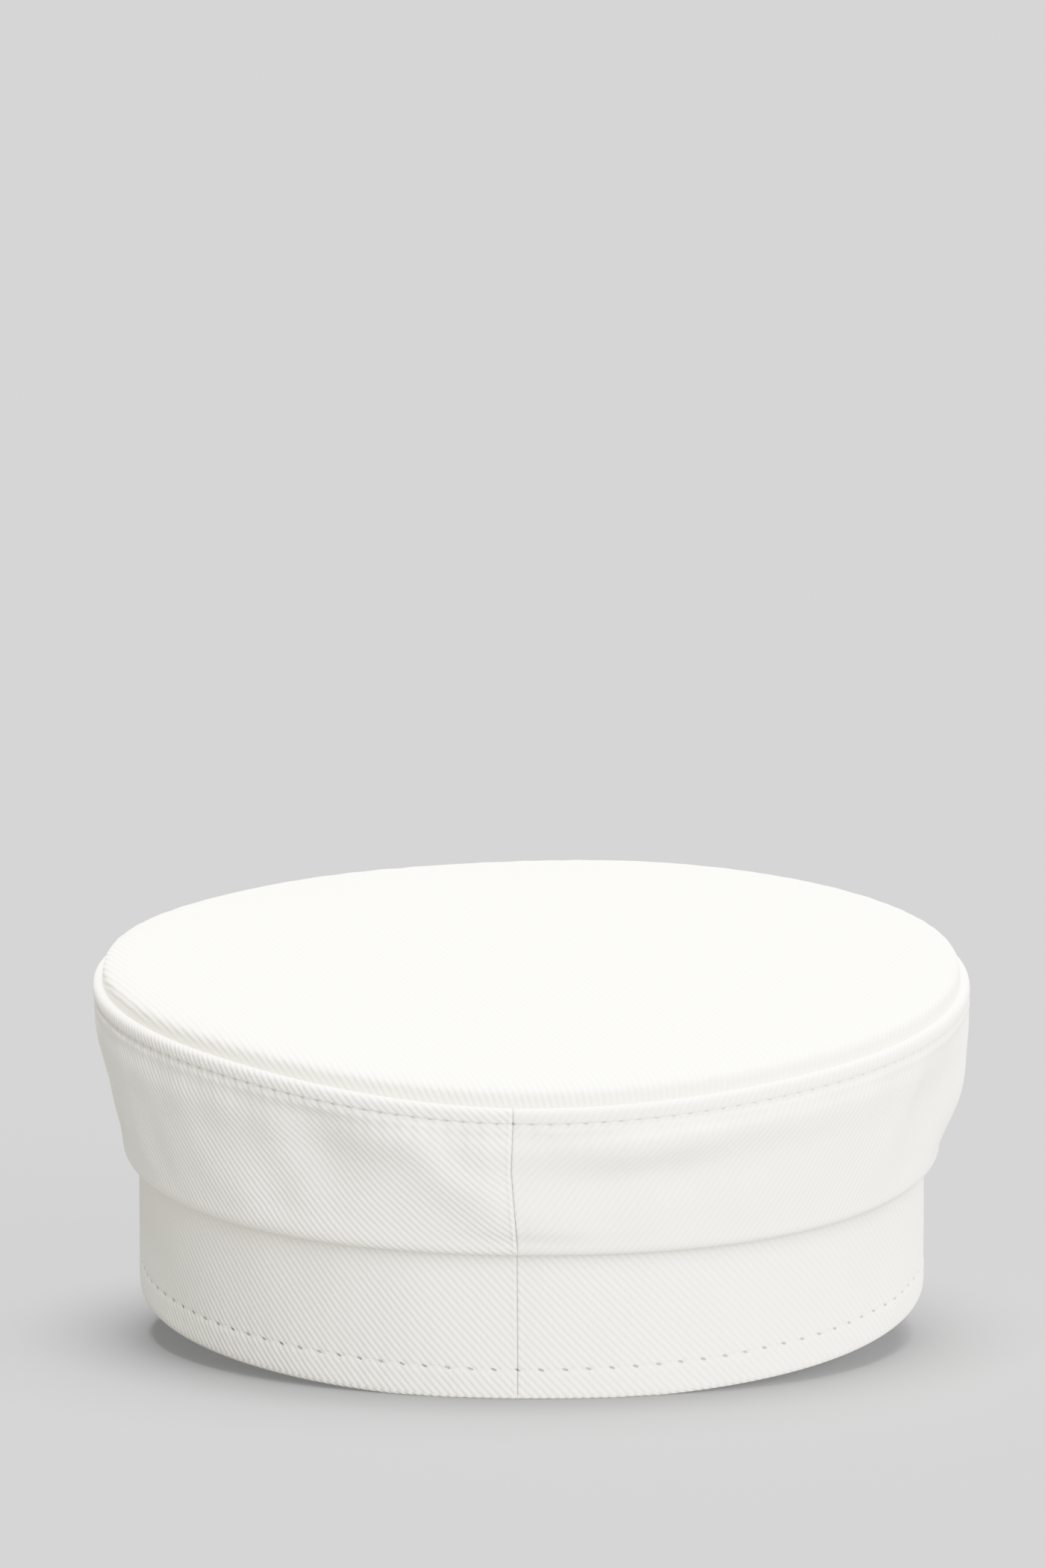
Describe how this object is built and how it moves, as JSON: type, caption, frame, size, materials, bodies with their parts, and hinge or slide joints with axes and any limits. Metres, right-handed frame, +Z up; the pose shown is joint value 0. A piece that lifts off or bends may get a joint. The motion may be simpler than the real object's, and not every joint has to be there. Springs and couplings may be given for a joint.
{
  "type": "baker boy cap",
  "caption": "Soft cloth cap with a round flat-topped crown, a straight head band and a curved front peak, resting on band and peak.",
  "frame": {"origin": "on the floor under the middle of the whole cap's box", "axes": "+Y to the front, where the peak is; +Z up; +X to the right of someone who looks along +Y from behind the cap"},
  "size_m": [0.1994, 0.2478, 0.0974],
  "materials": {
    "tip_twill": "matt off-white cotton twill",
    "panel_twill": "matt off-white cotton twill",
    "band_twill": "matt off-white cotton twill",
    "peak_twill": "matt off-white cotton twill over a stiff board"
  },
  "bodies": {
    "root": {"tip": "tip_twill", "side_panel": "panel_twill", "band": "band_twill", "peak": "peak_twill"}
  },
  "joints": []
}
